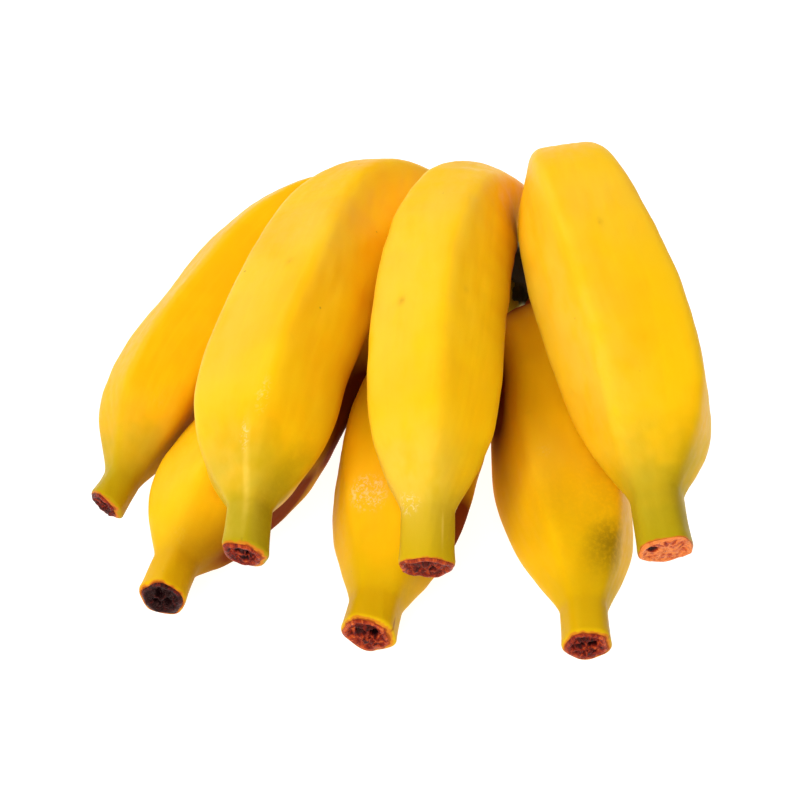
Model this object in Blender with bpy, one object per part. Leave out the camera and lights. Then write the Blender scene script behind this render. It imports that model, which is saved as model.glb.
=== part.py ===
"""A hand of short, thick bananas: four fingers lie over three, and all grow from one crown.

Lengths are in millimetres here and become metres when a mesh is made. +Z is up, the blossom
ends point along -Y, and the origin is under the middle of the whole hand.
"""
import math

import bmesh
import bpy
import numpy as np

MM = 0.001
ORIGIN = np.array((0.5, -0.65, 0.0))    # the point under the middle of the whole hand
TRIM = 0.4                    # clear gap between a stalk and the crown
STALK_RADIUS = 6.2            # a finger's stalk where it meets the crown
STALK_LENGTH = 13.0           # even stretch of the stalk before the body swells
NECK_LENGTH = 11.0            # even stretch of the bottleneck behind the blossom scar
SWELL_POWER = 1.7             # how briskly the body swells from either end
BODY_SHARPNESS = 13.0         # how crisp the long ridges are on the body
END_SHARPNESS = 6.0           # and on the stalk and bottleneck
ANCHOR = 0.6                  # share of a finger's path where its ridge angles start from the top
TWIST_MIDDLE = 0.55           # share of the path where the ridges have no twist
SCAR_RIM = 1.3                # rounded rim round the blossom scar
SCAR_INSET = 2.9              # from the bottleneck's outside to the sunk scar
SCAR_DEPTH = 1.2              # how far the scar sinks inside its rim

SIDES = 24                    # corners round a finger
STATION_STEP = 6.0            # distance between the rings of a finger
PATH_SAMPLES = 600
SHARP_ANGLE = 40.0            # edges bent more than this stay crisp, in degrees

CROWN_PATH = [(6, 84, 13), (20, 79, 13), (35, 74, 13), (50, 69, 13), (66, 63, 13)]
CROWN_HEIGHT = 13.5           # half of the cushion's height
CROWN_DEPTH = 8.5             # half of its thickness, front to back
CROWN_SQUARENESS = 3.2        # exponent of its rounded cross-section
CROWN_TAPER = 3.5             # exponent of its rounding towards both ends
CROWN_END = 0.35              # size of the first and last ring, as a share of the middle
CROWN_RINGS = 15
CROWN_SIDES = 24
STUB_LENGTH = 12.0            # from the stalk's end into the cushion
STUB_FLARE = 8.0              # radius of a stub where it sinks in
STUB_RINGS = 5
STUB_SIDES = 16

# Each path runs down the middle of a finger, from the end of its stalk to its blossom scar.
# body and neck are radii, and swell is how far the body takes to swell from the stalk's end and
# from the bottleneck's. Ridge angles go round the finger from its top towards -X, and twist
# turns the ridges at the stalk end and at the blossom end.
FINGERS = {
    "finger_upper_1": {
        "path": [(15, 78, 30), (2, 79, 36), (-16, 73, 40), (-36, 56, 37),
                 (-54.5, 27, 30), (-67.5, 2, 25), (-78.5, -36.5, 14)],
        "body": 14.5, "neck": 5.4, "swell": (31, 19),
        "ridges": (12, 84, 156, 228, 300), "twist": (-12, 0)},
    "finger_upper_2": {
        "path": [(24.5, 67, 34.5), (13, 64, 46), (-4, 52, 55), (-17, 29, 55),
                 (-26, -4, 56), (-34, -37, 51), (-37, -80, 40)],
        "body": 18.8, "neck": 5.8, "swell": (31, 22),
        "ridges": (-7, 65, 140, 215, 295), "twist": (-10, 0)},
    "finger_upper_3": {
        "path": [(45, 64, 33), (36.5, 57, 49), (23, 41, 60), (17, 18, 65),
                 (13, -13, 62), (11, -44, 52), (9, -79, 35)],
        "body": 18.0, "neck": 6.6, "swell": (31, 22),
        "ridges": (-10, 62, 134, 206, 278), "twist": (-33, 0)},
    "finger_upper_4": {
        "path": [(59, 60, 31), (55.5, 57, 47), (52, 47, 64), (52, 24, 72.5),
                 (60.5, -8, 62), (68, -38, 48), (70, -73, 35)],
        "body": 19.7, "neck": 7.2, "swell": (40, 19),
        "ridges": (36, 106, 176, 246, 317), "twist": (0, 0)},
    "finger_lower_1": {
        "path": [(17, 66, 12), (8, 55, 13), (-6, 42, 15), (-22.5, 21, 17),
                 (-34, -8, 17), (-50, -37, 16), (-61, -71, 15)],
        "body": 18.2, "neck": 6.1, "swell": (31, 20),
        "ridges": (-2, 70, 142, 214, 286), "twist": (0, 0)},
    "finger_lower_2": {
        "path": [(32, 60, 12), (27, 49, 14), (20, 34, 18), (13, 11, 22.5),
                 (5, -16, 21.5), (0, -49, 17.5), (-6, -83, 14)],
        "body": 19.5, "neck": 7.2, "swell": (31, 22),
        "ridges": (45, 114, 188, 262, 335), "twist": (0, -15)},
    "finger_lower_3": {
        "path": [(47, 57, 10.5), (45, 47, 14), (46, 30, 18), (48.5, 6, 19.5),
                 (47, -21, 18.5), (49, -52, 17.5), (50, -87, 14)],
        "body": 18.6, "neck": 6.4, "swell": (31, 19),
        "ridges": (18, 90, 162, 234, 306), "twist": (30, 0)},
}


def clear_scene():
    for thing in list(bpy.data.objects):
        bpy.data.objects.remove(thing, do_unlink=True)


def material(name, colour, roughness):
    made = bpy.data.materials.new(name)
    made.use_nodes = True
    shader = made.node_tree.nodes["Principled BSDF"]
    shader.inputs["Base Color"].default_value = (*colour, 1.0)
    shader.inputs["Roughness"].default_value = roughness
    shader.inputs["Metallic"].default_value = 0.0
    made.diffuse_color = (*colour, 1.0)
    return made


def smooth_path(points, count):
    """Evenly spaced points along a natural cubic spline through the given points, and its length."""
    points = np.array(points, dtype=float)
    chords = np.sqrt(np.linalg.norm(np.diff(points, axis=0), axis=1))
    knots = np.concatenate(([0.0], np.cumsum(chords)))
    spans = np.diff(knots)
    size = len(points)
    matrix = np.eye(size)
    right = np.zeros((size, 3))
    slopes = np.diff(points, axis=0) / spans[:, None]
    for i in range(1, size - 1):
        matrix[i, i - 1:i + 2] = spans[i - 1], 2.0 * (spans[i - 1] + spans[i]), spans[i]
        right[i] = 6.0 * (slopes[i] - slopes[i - 1])
    bends = np.linalg.solve(matrix, right)
    fine = np.linspace(0.0, knots[-1], PATH_SAMPLES)
    i = np.clip(np.searchsorted(knots, fine, side="right") - 1, 0, size - 2)
    before = (knots[i + 1] - fine)[:, None]
    after = (fine - knots[i])[:, None]
    span = spans[i][:, None]
    curve = (bends[i] * before ** 3 + bends[i + 1] * after ** 3) / (6.0 * span)
    curve += (points[i] / span - bends[i] * span / 6.0) * before
    curve += (points[i + 1] / span - bends[i + 1] * span / 6.0) * after
    steps = np.linalg.norm(np.diff(curve, axis=0), axis=1)
    travelled = np.concatenate(([0.0], np.cumsum(steps)))
    even = np.linspace(0.0, travelled[-1], count)
    placed = np.stack([np.interp(even, travelled, curve[:, axis]) for axis in range(3)], axis=1)
    return placed, travelled[-1]


def path_frames(path):
    """Tangent, upward and sideways directions at each point, carried along without twist."""
    tangents = np.gradient(path, axis=0)
    tangents /= np.linalg.norm(tangents, axis=1)[:, None]
    ups = np.zeros_like(path)
    anchor = int(ANCHOR * len(path))
    start = np.array((0.0, 0.0, 1.0))
    start -= tangents[anchor] * (start @ tangents[anchor])
    ups[anchor] = start / np.linalg.norm(start)
    forward = [(i, i - 1) for i in range(anchor + 1, len(path))]
    backward = [(i, i + 1) for i in range(anchor - 1, -1, -1)]
    for here, there in forward + backward:
        carried = ups[there] - tangents[here] * (ups[there] @ tangents[here])
        ups[here] = carried / np.linalg.norm(carried)
    return tangents, ups, np.cross(tangents, ups)


def swell(distance, start, scale):
    """0 up to start, then an easy rise towards 1."""
    beyond = np.maximum(distance - start, 0.0) / scale
    return 1.0 - np.exp(-beyond ** SWELL_POWER)


def smooth_step(x):
    x = np.clip(x, 0.0, 1.0)
    return x * x * (3.0 - 2.0 * x)


def ridged_section(angles, ridges, sharpness):
    """Radius in each direction of a rounded polygon with its corners at the ridge angles."""
    corners = np.sort(np.radians(ridges) % (2.0 * math.pi))
    ahead = np.roll(corners, -1)
    ahead[-1] += 2.0 * math.pi
    flats = 0.5 * (corners + ahead)
    reach = np.maximum(np.cos(angles[:, None] - flats[None, :]), 0.0)
    radius = (reach ** sharpness).sum(axis=1) ** (-1.0 / sharpness)
    return radius / radius.mean()


def finger_rings(finger):
    """Rings of points from the stalk to the sunk blossom scar, and the scar's middle."""
    length = smooth_path(finger["path"], 2)[1]
    count = int(round(length / STATION_STEP)) + 1
    path = smooth_path(finger["path"], count)[0]
    tangents, ups, sides = path_frames(path)
    from_stalk = np.linspace(0.0, length, count)
    from_scar = length - from_stalk
    neck = finger["neck"] / finger["body"]
    stalk = STALK_RADIUS / finger["body"]
    body_share = swell(from_scar, NECK_LENGTH, finger["swell"][1])
    stalk_share = swell(from_stalk, STALK_LENGTH, finger["swell"][0])
    radii = finger["body"] * (neck + (1.0 - neck) * body_share)
    radii *= stalk + (1.0 - stalk) * stalk_share
    sharpness = END_SHARPNESS + (BODY_SHARPNESS - END_SHARPNESS) * body_share * stalk_share
    along = from_stalk / length
    twist = finger["twist"][0] * (1.0 - smooth_step(along / TWIST_MIDDLE))
    twist += finger["twist"][1] * smooth_step((along - TWIST_MIDDLE) / (1.0 - TWIST_MIDDLE))
    angles = np.linspace(0.0, 2.0 * math.pi, SIDES, endpoint=False)
    rings = []
    for i in range(count):
        ridges = np.array(finger["ridges"]) + twist[i]
        reach = radii[i] * ridged_section(angles, ridges, sharpness[i])
        upward = np.outer(reach * np.cos(angles), ups[i])
        sideways = np.outer(reach * np.sin(angles), sides[i])
        rings.append(path[i] + upward + sideways)
    end = path[-1]
    edge = rings[-1] - end
    outward = tangents[-1]
    floor = end + outward * (SCAR_RIM - SCAR_DEPTH)
    rings.append(end + outward * SCAR_RIM + edge * (1.0 - SCAR_RIM / finger["neck"]))
    rings.append(floor + edge * (1.0 - SCAR_INSET / finger["neck"]))
    return rings, floor


def rest_on_floor(points):
    """Flatten whatever would pass below the surface that the hand lies on."""
    flattened = np.array(points)
    flattened[:, 2] = np.maximum(flattened[:, 2], 0.0)
    return flattened


def add_rings(mesh, rings, start_centre, end_centre):
    """Skin a row of rings and close both ends with fans. Returns the faces of the end fan."""
    made = [[mesh.verts.new((point - ORIGIN) * MM) for point in rest_on_floor(ring)] for ring in rings]
    size = len(made[0])
    for one, other in zip(made, made[1:]):
        for j in range(size):
            k = (j + 1) % size
            mesh.faces.new((one[j], one[k], other[k], other[j]))
    first = mesh.verts.new((start_centre - ORIGIN) * MM)
    last = mesh.verts.new((end_centre - ORIGIN) * MM)
    fan = []
    for j in range(size):
        k = (j + 1) % size
        mesh.faces.new((first, made[0][k], made[0][j]))
        fan.append(mesh.faces.new((last, made[-1][j], made[-1][k])))
    return fan


def finish_object(name, mesh, materials):
    bmesh.ops.recalc_face_normals(mesh, faces=mesh.faces)
    data = bpy.data.meshes.new(name)
    mesh.to_mesh(data)
    mesh.free()
    for one in materials:
        data.materials.append(one)
    data.shade_smooth()
    data.set_sharp_from_angle(angle=math.radians(SHARP_ANGLE))
    thing = bpy.data.objects.new(name, data)
    bpy.context.scene.collection.objects.link(thing)
    return thing


def make_finger(name, finger, peel, scar):
    rings, scar_centre = finger_rings(finger)
    mesh = bmesh.new()
    scar_faces = add_rings(mesh, rings, rings[0].mean(axis=0), scar_centre)
    for face in scar_faces:
        face.material_index = 1
        for edge in face.edges:
            for neighbour in edge.link_faces:
                neighbour.material_index = 1
    return finish_object(name, mesh, (peel, scar))


def make_stub(name, finger):
    """The crown's own root of one stalk: a flaring cone that ends flat, just short of the stalk."""
    stalk = smooth_path(finger["path"], PATH_SAMPLES)[0]
    direction = stalk[0] - stalk[1]
    direction /= np.linalg.norm(direction)
    end = stalk[0] + direction * TRIM
    up = np.cross(direction, (1.0, 0.0, 0.0))
    up /= np.linalg.norm(up)
    side = np.cross(direction, up)
    angles = np.linspace(0.0, 2.0 * math.pi, STUB_SIDES, endpoint=False)
    circle = np.outer(np.cos(angles), up) + np.outer(np.sin(angles), side)
    rings = []
    for along in np.linspace(0.0, 1.0, STUB_RINGS):
        radius = STALK_RADIUS + (STUB_FLARE - STALK_RADIUS) * smooth_step(along)
        rings.append(end + direction * STUB_LENGTH * along + radius * circle)
    mesh = bmesh.new()
    add_rings(mesh, rings, end, end + direction * STUB_LENGTH)
    return finish_object(name, mesh, ())


def make_cushion(skin):
    """The crown's body: a curved bar with a rounded, nearly square section."""
    path = smooth_path(CROWN_PATH, CROWN_RINGS)[0]
    tangents = path_frames(path)[0]
    along = np.linspace(-1.0, 1.0, CROWN_RINGS)
    fullness = np.maximum(1.0 - np.abs(along) ** CROWN_TAPER, 0.0) ** 0.5
    fullness[0] = fullness[-1] = CROWN_END
    angles = np.linspace(0.0, 2.0 * math.pi, CROWN_SIDES, endpoint=False)
    power = 2.0 / CROWN_SQUARENESS
    across = np.sign(np.cos(angles)) * np.abs(np.cos(angles)) ** power * CROWN_DEPTH
    upward = np.sign(np.sin(angles)) * np.abs(np.sin(angles)) ** power * CROWN_HEIGHT
    rings = []
    for i in range(CROWN_RINGS):
        back = np.cross((0.0, 0.0, 1.0), tangents[i])
        back /= np.linalg.norm(back)
        section = np.outer(across, back) + np.outer(upward, (0.0, 0.0, 1.0))
        rings.append(path[i] + fullness[i] * section)
    mesh = bmesh.new()
    add_rings(mesh, rings, rings[0].mean(axis=0), rings[-1].mean(axis=0))
    return finish_object("crown", mesh, (skin,))


def make_crown(skin):
    """The cushion with a root for every stalk, joined in one solid."""
    crown = make_cushion(skin)
    stubs = bpy.data.collections.new("stubs")
    bpy.context.scene.collection.children.link(stubs)
    for name, finger in FINGERS.items():
        stub = make_stub("stub_" + name, finger)
        bpy.context.scene.collection.objects.unlink(stub)
        stubs.objects.link(stub)
    union = crown.modifiers.new("join the stubs", "BOOLEAN")
    union.operation = "UNION"
    union.solver = "EXACT"
    union.operand_type = "COLLECTION"
    union.collection = stubs
    evaluated = crown.evaluated_get(bpy.context.evaluated_depsgraph_get())
    joined = bpy.data.meshes.new_from_object(evaluated)
    crown.modifiers.clear()
    crown.data = joined
    for stub in list(stubs.objects):
        bpy.data.objects.remove(stub, do_unlink=True)
    bpy.data.collections.remove(stubs)
    return crown


def main():
    clear_scene()
    peel = material("banana peel", (0.95, 0.58, 0.02), 0.42)
    scar = material("blossom scar", (0.16, 0.05, 0.02), 0.8)
    skin = material("crown", (0.55, 0.42, 0.08), 0.6)
    for name, finger in FINGERS.items():
        make_finger(name, finger, peel, scar)
    make_crown(skin)


main()
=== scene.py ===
"""The finished look of a hand of short, thick bananas: ripe peel, blossom scars and crown.

Paths and sizes are in millimetres, close to those of the solids, and become metres in each mesh.
"""
import math

import bpy
import numpy as np
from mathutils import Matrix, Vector
from mathutils.bvhtree import BVHTree
from mathutils.kdtree import KDTree


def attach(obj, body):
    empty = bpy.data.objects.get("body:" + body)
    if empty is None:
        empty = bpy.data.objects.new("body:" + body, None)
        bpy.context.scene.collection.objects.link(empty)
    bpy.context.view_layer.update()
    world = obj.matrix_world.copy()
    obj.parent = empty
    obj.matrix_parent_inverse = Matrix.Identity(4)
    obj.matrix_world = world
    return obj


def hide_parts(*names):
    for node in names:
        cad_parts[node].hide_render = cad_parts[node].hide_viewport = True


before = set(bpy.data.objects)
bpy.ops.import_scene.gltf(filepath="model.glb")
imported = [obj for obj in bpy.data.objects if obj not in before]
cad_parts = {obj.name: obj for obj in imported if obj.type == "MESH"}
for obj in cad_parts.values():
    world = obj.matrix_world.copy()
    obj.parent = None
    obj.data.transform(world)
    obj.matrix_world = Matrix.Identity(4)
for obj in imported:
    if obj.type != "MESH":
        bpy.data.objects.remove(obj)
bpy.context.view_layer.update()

MM = 0.001
ORIGIN = np.array((0.5, -0.65, 0.0))    # the point under the middle of the whole hand
STALK_RADIUS = 6.2
STALK_LENGTH = 13.0
STALK_POWER = 1.7             # how abruptly the body swells beyond the stalk
NECK_POWER = 1.35             # and beyond the bottleneck
BODY_SHARPNESS = 12.0         # how crisp the ridges are along the body
END_SHARPNESS = 5.0           # and on the stalk and the bottleneck
TIP_FLARE = 0.3               # how much the bottleneck widens at the scar
TIP_FLARE_REACH = 3.0
ANCHOR = 0.6                  # share of a path where angle 0 points straight up
TWIST_MIDDLE = 0.55           # share of a path where the ridges have the angles given
PATH_SAMPLES = 600

AROUND = 144                  # corners round a finger
STEP = 1.0                    # distance between its rings
ROOT = 5.0                    # how far a stalk runs on inside the crown
RIDGE_WIDTH = 7.0             # degrees in which a ridge's wear fades
LUMPS = ((0.22, 16.0), (0.10, 6.0))    # heights and sizes of the body's unevenness
CREASE = (0.05, 1.6)          # height and size
CREASE_STRETCH = (1.0, 0.12, 1.0)      # drawn out along Y, as most fingers lie
GRAIN_APART = 137.0           # keeps the patterns of any two fingers different
WAVES = 9                     # in each random field
WAVE_SPREAD = (1.2, 2.8)      # their lengths, in sizes of the field's features

# Edge of the peel and lip of the scar. "edge" is a value for the peel's material: it falls to 0
# where the peel ends, and is below 0 on the scar.
EDGE_RINGS = 7                # rings where the peel rounds over to the scar
EDGE_RISE = 1.3
EDGE_START = 1.4              # value of "edge" where the rounding starts
EDGE_PAST = -2.0              # and on the scar's face
LIP = ((0.10, 0.06, 0.4, 0.9), (0.34, 0.22, 0.9, 0.9), (0.50, 0.48, 1.0, 0.9),
       (0.52, 0.78, 1.0, 0.4), (0.40, 1.05, 0.9, 0.4),
       (0.15, 1.30, 0.7, 0.4))         # rise, inset, raggedness and paleness of each ring
LIP_RAGGED = ((0.30, 0.9), (0.18, 0.26))
LIP_LIMITS = (-0.4, 0.6)
INSET_WAVER = (0.10, 0.4)
INSET_LEAST = 0.12

# The scar's face. Sizes of its folds and chambers are in units of its radius.
SCAR_RINGS = 22               # rings inside the lip
SCAR_MARGIN = 0.1             # between the lip and the first of them
SCAR_MIDDLE = 0.02            # the last one's share of the radius
SCAR_DEPTH = 0.45             # how far it is sunk below the peel's edge
SCAR_SLOPE = 0.72             # where it starts to rise towards the lip
SCAR_RAGGED = 0.6             # share of the lip's raggedness that it takes up
SCAR_GRAIN = ((0.04, 0.22), (0.025, 0.10))
TILT_REACH = 8.0              # how far from the scar its tilt is felt
LOBES = 7                     # folds round the middle one
LOBE_JITTER = 16.0            # degrees
LOBE_REACH = (0.45, 0.75)     # from the middle
LOBE_MIDDLE = (0.05, -0.05)
LOBE_SIZE = 0.34
LOBE_HEIGHT = 0.15
LOBE_LOW = -0.4
LOBE_BEND = (0.07, 0.35)
NET_WIDTH = 0.07              # of the pale lines between the folds
NET_HEIGHT = 0.05
LIP_PAINTED_SHADOW = 0.22           # painted shadow of the lip, darkening the scar's upper part
TOP_SHADOW = (0.1, 0.75)      # heights where that painted shadow starts and is full
TOP_FADE = 0.8                # where it starts to fade towards the lip
CHAMBER_FLOOR = 0.18
CHAMBER_WALL = 0.36
CHAMBER_BEND = (0.05, 0.5)
CHAMBER_RISE = 0.10           # of a chamber of depth 0
CHAMBER_DEPTH = 0.48          # how much lower one of depth 1 lies
CHAMBER_RIM = (0.40, 0.05)    # radius and width of the pale ring round it
CHAMBER_RIM_PALE = 0.7
RELIEF_END = 0.88             # where the relief starts to fade towards the lip

COARSE_RING = 5               # every which ring and corner is used to see what hides the sky
COARSE_CORNER = 6
SKY_RAYS = 40
SKY_REACH = 70.0
SKY_LIFT = 0.8                # how far above the skin the rays start
SKY_ASKEW = (0.31, 0.52, 0.79)         # any direction that is no normal of the skin
SKY_OPEN = 0.85               # share of hidden sky up to which the skin gets no painted shade

# path runs from the stalk to the blossom scar. body and neck are radii. swell: how gently the body
# swells from the stalk and from the neck, and how far from the scar it starts to. ridges and twist
# are degrees, twist at the stalk and at the scar. green is how unripe the bottleneck looks, and
# warm how orange the peel is, below 0 less than usual: partly each finger's own tone and partly
# painted light, as the lower fingers, which the upper ones shade, are made yellower. The spots on
# the peel, in this order, are marks, painted sheen, painted glints in glossier patches, bruises
# with painted shade on the right of each bottleneck, and painted shade on the flanks between
# fingers: distance from the scar, angle from the top towards -X, length, width and strength.
# scar: inset of its edge from the neck, the direction and amount by which that inset grows, how
# far the end tilts away from that direction, its tone from dark to pale, the turn and depths of
# its chambers, how strong its relief is, and how far the chambers lie from its middle.
FINGERS = {
    "finger_upper_1": {
        "path": [(15, 78, 30), (2, 79, 36), (-16, 73, 40), (-36, 56, 37),
                 (-54.5, 27, 30), (-66.7, 2, 25), (-74.0, -24.5, 17.8), (-78.4, -34.9, 15)],
        "body": 14.7, "neck": 5.1, "swell": (31, 16, 8),
        "ridges": (12, 84, 156, 228, 300), "twist": (-12, 0), "green": 0.9, "warm": 0.6,
        "marks": [(52, -58, 1.2, 0.9, 0.3)],
        "haze": [(20, -20, 10, 12, 0.3)],
        "flakes": [(30, -30, 10, 8, 0.18)],
        "bruises": [(9, -84, 13, 4.5, 0.6)],
        "shades": [(40, -96, 34, 8, 0.8), (48, -78, 34, 5, 0.5)],
        "scar": {"inset": 1.3, "lean": (-90, 0.9), "tilt": 0.22, "tone": -0.14, "turn": 20,
                 "holes": (0.8, 0.7, 0.8), "relief": 0.8, "spread": 0.45}},
    "finger_upper_2": {
        "path": [(24.5, 67, 34.5), (13.5, 64, 47), (-4, 52, 55.5), (-16.4, 29, 55),
                 (-24.8, -4, 56), (-33.2, -37, 51), (-37, -80, 40)],
        "body": 18.8, "neck": 5.8, "swell": (31, 13.5, 12),
        "ridges": (-15, 57, 132, 207, 280), "twist": (6, 0), "green": 1.0, "warm": 0.1,
        "marks": [(80, 10, 1.2, 0.8, 0.25)],
        "haze": [(20, 32, 15, 9, 0.65), (62, 50, 42, 13, 0.55), (97, 14, 17, 13, 0.6),
                 (17, 3, 11, 1.2, 1.5), (10, 60, 13, 3.5, 0.6)],
        "flakes": [(36, -8, 7, 2.4, 0.35), (26, 5, 4, 1.4, 0.6)],
        "bruises": [(9, -62, 17, 4.5, 0.85)],
        "shades": [(70, -96, 38, 8, 0.8), (84, -78, 34, 5, 0.45)],
        "scar": {"inset": 1.2, "lean": (-90, 0.8), "tilt": 0.22, "tone": -0.05, "turn": 50,
                 "holes": (0.9, 0.8, 0.5), "relief": 0.9, "spread": 0.48}},
    "finger_upper_3": {
        "path": [(45, 64, 33), (36.5, 57, 49), (23.7, 41.3, 60.6), (16.7, 18, 65),
                 (12, -13, 62), (9.8, -44, 52), (8.7, -79, 35)],
        "body": 17.45, "neck": 6.9, "swell": (31, 14.5, 13),
        "ridges": (-12, 60, 132, 204, 284), "twist": (-46, 0), "green": 0.7, "warm": -0.3,
        "marks": [(66, 32, 1.2, 1.0, 0.45), (70, -28, 1.0, 0.8, 0.2)],
        "haze": [(22, 30, 14, 12, 0.9), (62, 45, 40, 13, 0.5), (100, 12, 15, 14, 0.6),
                 (7.5, -38, 4.5, 0.4, 1.3)],
        "flakes": [(13.5, 40, 3, 3.2, 0.7)],
        "bruises": [(8, -72, 15, 4.5, 0.55)],
        "shades": [(86, -104, 34, 9.0, 1.4)],
        "scar": {"inset": 0.3, "lean": (0, 0.0), "tilt": 0.0, "tone": 0.03, "turn": -122,
                 "holes": (1.0, 0.1, 0.2), "relief": 1.0, "spread": 0.36}},
    "finger_upper_4": {
        "path": [(59, 60, 31), (55.5, 57, 47), (50.6, 47, 64), (51.1, 24, 72.3),
                 (59.2, -8, 62), (67.6, -38, 48), (68.6, -59, 40.2), (69.9, -73, 35)],
        "body": 19.4, "neck": 7.0, "swell": (41.5, 15.5, 13.5),
        "ridges": (36, 106, 176, 240, 317), "twist": (24, 21), "green": 1.0, "warm": -0.3,
        "marks": [(88, 4, 1.0, 0.8, 0.3)],
        "haze": [(62, 62, 42, 13, 0.8), (62, -72, 40, 7, 0.5), (95, 5, 14, 16, 0.4)],
        "flakes": [],
        "bruises": [(11, -30, 13, 3.5, 0.7)],
        "shades": [],
        "scar": {"inset": 0.25, "lean": (0, 0.0), "tilt": 0.0, "tone": 0.46, "turn": 80,
                 "holes": (1.0, 0.1, 0.0), "relief": 0.35, "spread": 0.64}},
    "finger_lower_1": {
        "path": [(17, 66, 12), (8, 55, 13), (-6, 42, 15), (-22.5, 21, 17),
                 (-34, -8, 17), (-50, -37, 16), (-60.3, -71, 15)],
        "body": 18.2, "neck": 6.1, "swell": (31, 16, 11.5),
        "ridges": (-2, 70, 142, 214, 286), "twist": (0, 0), "green": 0.3, "warm": -0.3,
        "marks": [(30, -26, 2.2, 1.6, 0.35)],
        "haze": [(34, 30, 16, 10, 0.3)],
        "flakes": [(15, 0, 6, 6, 0.2)],
        "bruises": [(12, -76, 12, 5.5, 0.6)],
        "shades": [(41, -108, 28, 13, 1.7), (84, -95, 26, 16, 1.6)],
        "scar": {"inset": 0.9, "lean": (120, 0.3), "tilt": 0.05, "tone": -0.42, "turn": 10,
                 "holes": (0.7, 0.9, 0.8), "relief": 1.0, "spread": 0.48}},
    "finger_lower_2": {
        "path": [(32, 60, 12), (27, 49, 14), (20, 34, 18), (13, 11, 22.5),
                 (5, -16, 21.5), (0, -49, 17.5), (-6, -83, 14)],
        "body": 19.5, "neck": 7.0, "swell": (31, 22, 8.7),
        "ridges": (45, 114, 188, 262, 335), "twist": (0, -15), "green": 0.35, "warm": -0.6,
        "marks": [(1.0, -66, 2.0, 0.45, 1.0), (40, -40, 1.4, 1.0, 0.3)],
        "haze": [(36, 16, 9, 8, 0.3)],
        "flakes": [(35, 23, 5, 4.5, 1.0)],
        "bruises": [(14, -68, 16, 6, 0.5)],
        "shades": [(38, -94, 13, 10, 1.5)],
        "scar": {"inset": 1.3, "lean": (-80, 0.6), "tilt": 0.05, "tone": 0.05, "turn": -58,
                 "holes": (1.0, 0.5, 0.05), "relief": 1.0, "spread": 0.48}},
    "finger_lower_3": {
        "path": [(47, 57, 11), (45.5, 47, 16), (45.6, 30, 20), (47.6, 6, 20),
                 (46.8, -21, 18.5), (49.2, -52, 17.5), (50.2, -87, 14)],
        "body": 18.3, "neck": 6.2, "swell": (14, 18.9, 10.3),
        "ridges": (32, 104, 176, 248, 320), "twist": (30, 0), "green": 0.4, "warm": -0.5,
        "marks": [(1.0, -60, 2.0, 0.45, 1.0)],
        "haze": [(50, 20, 12, 10, 0.2)],
        "flakes": [(52, 22, 5, 3, 0.25)],
        "bruises": [(24, -34, 8, 6.5, 1.5), (34, -34, 18, 12, 0.55), (36, 8, 12, 14, 0.3),
                    (10, -72, 14, 5, 0.5)],
        "shades": [(98, 84, 36, 8, 1.6), (128, 48, 15, 9, 1.5), (138, 0, 9, 24, 1.1)],
        "scar": {"inset": 1.1, "lean": (-80, 0.2), "tilt": 0.0, "tone": 0.0, "turn": -48,
                 "holes": (1.0, 0.6, 0.05), "relief": 1.0, "spread": 0.48}},
}

CROWN_PATH = [(6, 84, 13), (20, 79, 13), (35, 74, 13), (50, 69, 13), (66, 63, 13)]
CROWN_HEIGHT = 13.5
CROWN_DEPTH = 8.5
CROWN_SQUARENESS = 3.2
CROWN_TAPER = 3.5
CROWN_END = 0.35
CROWN_RINGS = 60
CROWN_SIDES = 72
CROWN_VOXEL = 0.9
CROWN_EASE = 0.5
CROWN_EASE_TIMES = 8
CROWN_LINE = 80               # points of its path that are used to tell its back from its front
CROWN_SEED = 900
CROWN_LUMPS = ((0.30, 5.0), (0.14, 1.9))
CROWN_SINK = 0.35
CROWN_SKIP = 9                # every which corner of the crown is used to see what hides the sky
CROWN_NEAR = 4                # and how many of those each other corner is blended from
CROWN_NEAR_EASE = 0.3
CUT_START = 2.2               # how far under the flat back the cut face starts to show
CUT_FULL = 0.9
CUT_SAW = (0.16, 1.4)         # height and size of the marks that the knife left
CUT_STRETCH = (1.0, 1.0, 0.3)
CUT_SINK = 0.5
STUB_LENGTH = 12.0
STUB_FLARE = 8.0
STUB_RINGS = 16
COLLAR = 3.0                  # how far the crown's skin creeps forward over a stalk
COLLAR_RISE = 0.5
COLLAR_START = -0.3           # it starts inside the stalk

VIEW_TARGET = np.array((1.5, -8.35, 30.0))
VIEW_ELEVATION = 40.0
VIEW_DISTANCE = 620.0
VIEW_PIXELS_PER_MM = 3.57     # at the target
VIEW_CLIP = (0.05, 50.0)      # metres
PICTURE_WIDTH = 800
SENSOR = 36.0
LIGHT_AIM = (0.0, -0.01, 0.03)         # metres, as are the next two
LIGHT_DISTANCE = 1.3
LIGHT_SIZE = 0.9
LIGHT_ELEVATION = 40.0
LIGHTS = (("front light", -18.0, 16.0), ("left back light", -135.0, 10.5),
          ("right back light", 135.0, 5.5))    # azimuth and power
HORIZON = (("From Min", 0.03), ("From Max", 0.2), ("To Min", 0.95),
           ("To Max", 0.06))           # height of a direction, and the sky's strength there
FLOOR_SIZE = 8.0              # metres
FLOOR_GLOW = 0.90


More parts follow.
